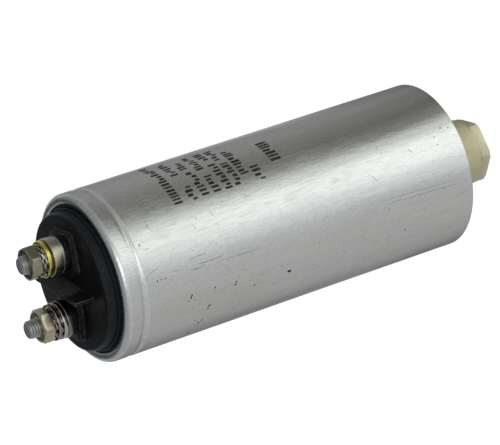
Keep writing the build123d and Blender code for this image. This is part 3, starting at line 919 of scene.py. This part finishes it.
# Floor tones by azimuth in degrees, each with a tint: painted light and shade on the glowing floor, a bright pool
# round -38 and a dark sector round 6, that the metal mirrors
PLAIN, MINT, COOL, OLIVE = (1.0, 1.0, 1.0), (0.95, 1.0, 0.95), (0.965, 0.98, 1.0), (1.0, 0.99, 0.93)
FLOOR_TONES = [
    (-180, 0.38, PLAIN), (-150, 0.36, PLAIN), (-102, 0.40, PLAIN), (-86, 0.45, COOL), (-70, 0.69, COOL),
    (-54, 0.96, PLAIN), (-38, 1.0, MINT), (-24, 0.62, MINT), (-10, 0.20, OLIVE), (6, 0.135, OLIVE),
    (26, 0.185, OLIVE), (50, 0.29, PLAIN), (80, 0.40, PLAIN), (100, 0.50, PLAIN), (118, 0.58, PLAIN),
    (136, 0.38, PLAIN), (155, 0.33, PLAIN), (180, 0.38, PLAIN),
]


def soft_light(name, place, size, power, target=(0.0, 0.0, 0.085)):
    """Round area lamp aimed at the middle of the object."""
    data = bpy.data.lights.new(name, "AREA")
    data.shape = "DISK"
    data.size = size
    data.energy = power
    lamp = bpy.data.objects.new(name, data)
    lamp.location = place
    lamp.rotation_euler = (Vector(target) - Vector(place)).to_track_quat("-Z", "Y").to_euler()
    scene.collection.objects.link(lamp)


# Surround by azimuth in degrees, at the horizon and well above it
LOW_TONES = (
    (-180, 0.40), (-120, 0.50), (-62, 0.75), (-20, 0.55), (10, 0.30), (60, 0.35),
    (100, 0.70), (118, 0.85), (136, 0.70), (160, 0.45), (180, 0.40),
)
HIGH_TONES = (
    (-180, 0.34), (-120, 0.45), (-62, 0.65), (-20, 0.45), (10, 0.28), (60, 0.25), (86, 0.22),
    (99, 0.10), (108, 0.03), (118, 0.02), (129, 0.06), (142, 0.30), (156, 0.42), (180, 0.38),
)


def studio_world():
    """Soft surround: light in front and along the horizon behind, dim overhead and above the backdrop."""
    world = bpy.data.worlds.new("studio")
    scene.world = world
    world.use_nodes = True
    s = Shader.on_world(world)
    x, y, z = s.split(s.add("ShaderNodeTexCoord").outputs["Generated"])
    low, high = (s.by_azimuth(x, y, tones) for tones in (LOW_TONES, HIGH_TONES))
    level = s.mix(s.span(z, 0.10, 0.38, 0.0, 1.0, "SMOOTHSTEP"), low, high)
    level = s.mix(s.span(z, 0.62, 0.92, 0.0, 1.0, "SMOOTHSTEP"), level, (0.28, 0.28, 0.28))
    s.link(s.mix(1.0, level, (0.89, 0.95, 1.0), "MULTIPLY"), s.tree.nodes["Background"].inputs["Color"])


def camera():
    """Camera of the photo, from a fit to its outlines."""
    data = bpy.data.cameras.new("photo_camera")
    data.sensor_width = 36.0
    data.lens = 231.0925
    data.clip_start = 0.05
    data.clip_end = 20.0
    cam = bpy.data.objects.new("photo_camera", data)
    right = Vector((-0.07502564, -0.53813249, -0.83951449))
    down = Vector((-0.90710967, -0.31282539, 0.28158893))
    ahead = Vector((-0.4141536, 0.7826581, -0.46467525))
    rot = Matrix((right, -down, -ahead)).transposed().to_4x4()
    cam.matrix_world = Matrix.Translation((0.42531202, -0.8034122, 0.56505217)) @ rot
    scene.collection.objects.link(cam)
    scene.camera = cam


def assemble():
    """Make every piece and give the CAD pieces that stay their finishes."""
    aluminium = can_metal()
    black = black_moulding()
    low, _ = node_z("tall_collar")
    bare = (low + COLLAR_FOOT + 0.12, (0.46, 0.45, 0.47))
    collar = plated("collar_steel", (0.41, 0.39, 0.28), (0.57, 0.54, 0.41), (0.38, 0.33, 0.20), 0.20, 0.30, foot=bare)
    dull = plated("short_collar_steel", (0.24, 0.23, 0.22), (0.34, 0.33, 0.31), (0.26, 0.24, 0.19), 0.18, 0.28)
    yellow = plated("yellow_zinc", (0.72, 0.59, 0.13), (0.98, 0.86, 0.30), (0.62, 0.44, 0.15), 0.16, 0.24)
    cream = plated("cream_steel", (0.56, 0.54, 0.43), (0.70, 0.67, 0.55), (0.48, 0.43, 0.31), 0.12, 0.20)
    copper = plated("copper_plate", (0.37, 0.30, 0.27), (0.50, 0.42, 0.38), (0.32, 0.23, 0.18), 0.12, 0.20)
    silver = ((0.44, 0.44, 0.43), (0.62, 0.61, 0.60), (0.30, 0.28, 0.24))
    teeth = plated("tooth_steel", *silver, 0.20, 0.32, False, specks=0.85)
    # painted shade: the first nut's finish is a darker copy of the nut finish below, for the shade that nut shows
    worn = plated("nut_zinc_shaded", (0.36, 0.33, 0.23), (0.50, 0.46, 0.34), (0.32, 0.27, 0.17), 0.14, 0.24, False)
    nut = plated("nut_zinc", (0.56, 0.51, 0.36), (0.74, 0.68, 0.50), (0.44, 0.37, 0.23), 0.20, 0.28, False)
    zinc = plated("stud_zinc", (0.50, 0.50, 0.48), (0.65, 0.65, 0.62), (0.42, 0.41, 0.36), 0.34, 0.46)
    can(aluminium)
    terminal_deck(black)
    deck_gasket(gasket_rubber())
    base_nut(nylon())
    stepped_collar(collar)
    low, high = node_z("short_collar")
    washer("short_collar_ring", "short_collar", -STUD_X, 6.1, low, high, 0.28, dull)
    low, high = node_z("yellow_washer")
    washer("yellow_washer_ring", "yellow_washer", STUD_X, 5.9, low, high, 0.3, yellow)
    low, high = node_z("cream_washer")
    washer("cream_washer_ring", "cream_washer", -STUD_X, 6.0, low, high, 0.3, cream)
    low, high = node_z("copper_washer")
    washer("copper_washer_ring", "copper_washer", -STUD_X, 5.9, low, high, 0.28, copper)
    # the first nut takes the darker copy of the nut finish, its painted shade
    terminals = zip(("first", "second"), (STUD_X, -STUD_X), NUT_SEATS_Z, NUT_TURNS, (worn, nut))
    for label, x, z, turn, finish in terminals:
        dress(hex_nut(f"{label}_terminal_nut", x, z, turn), "terminal_nuts", finish)
        dress(thread_stud(f"{label}_terminal_stud", x, z + NUT_HEIGHT), "terminal_studs", zinc)
    teeth_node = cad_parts["tooth_washers"]
    teeth_node.data.materials.clear()
    teeth_node.data.materials.append(teeth)
    edge = teeth_node.modifiers.new("eased_edges", "BEVEL")
    edge.width = 0.05 * MM
    edge.segments = 2
    print_rows(ink())
    wall_specks(grime())
    wall_hairlines(scuffed())
    finishes = {
        "film_winding": inner("film", (0.46, 0.47, 0.48), (0.62, 0.63, 0.64), 0.35, 1.0, 0.6, (700, 700, 12)),
        "winding_core": inner("core_plastic", (0.60, 0.58, 0.52), (0.70, 0.68, 0.62), 0.5, 300.0),
        "lower_contact": inner("sprayed_zinc", (0.32, 0.32, 0.32), (0.46, 0.46, 0.46), 0.7, 900.0, 0.8),
        "upper_contact": None,
        "upper_lead": inner("tinned_copper", (0.60, 0.60, 0.59), (0.74, 0.74, 0.73), 0.3, 600.0, 1.0),
        "lower_lead": None,
        "winding_sleeve": inner("sleeve_plastic", (0.62, 0.60, 0.50), (0.72, 0.70, 0.60), 0.45, 200.0),
        "base_insulator": inner("insulator_plastic", (0.50, 0.46, 0.38), (0.58, 0.54, 0.46), 0.55, 250.0),
        "resin_fill": inner("resin", (0.16, 0.09, 0.035), (0.23, 0.14, 0.06), 0.3, 90.0),
    }
    finishes["upper_contact"] = finishes["lower_contact"]
    finishes["lower_lead"] = finishes["upper_lead"]
    for node, material in finishes.items():
        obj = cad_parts[node]
        obj.data.materials.clear()
        obj.data.materials.append(material)


camera()
studio_world()
floor()
soft_light("front_softbox", (0.62, -1.16, 0.95), 1.2, 3.0)
assemble()
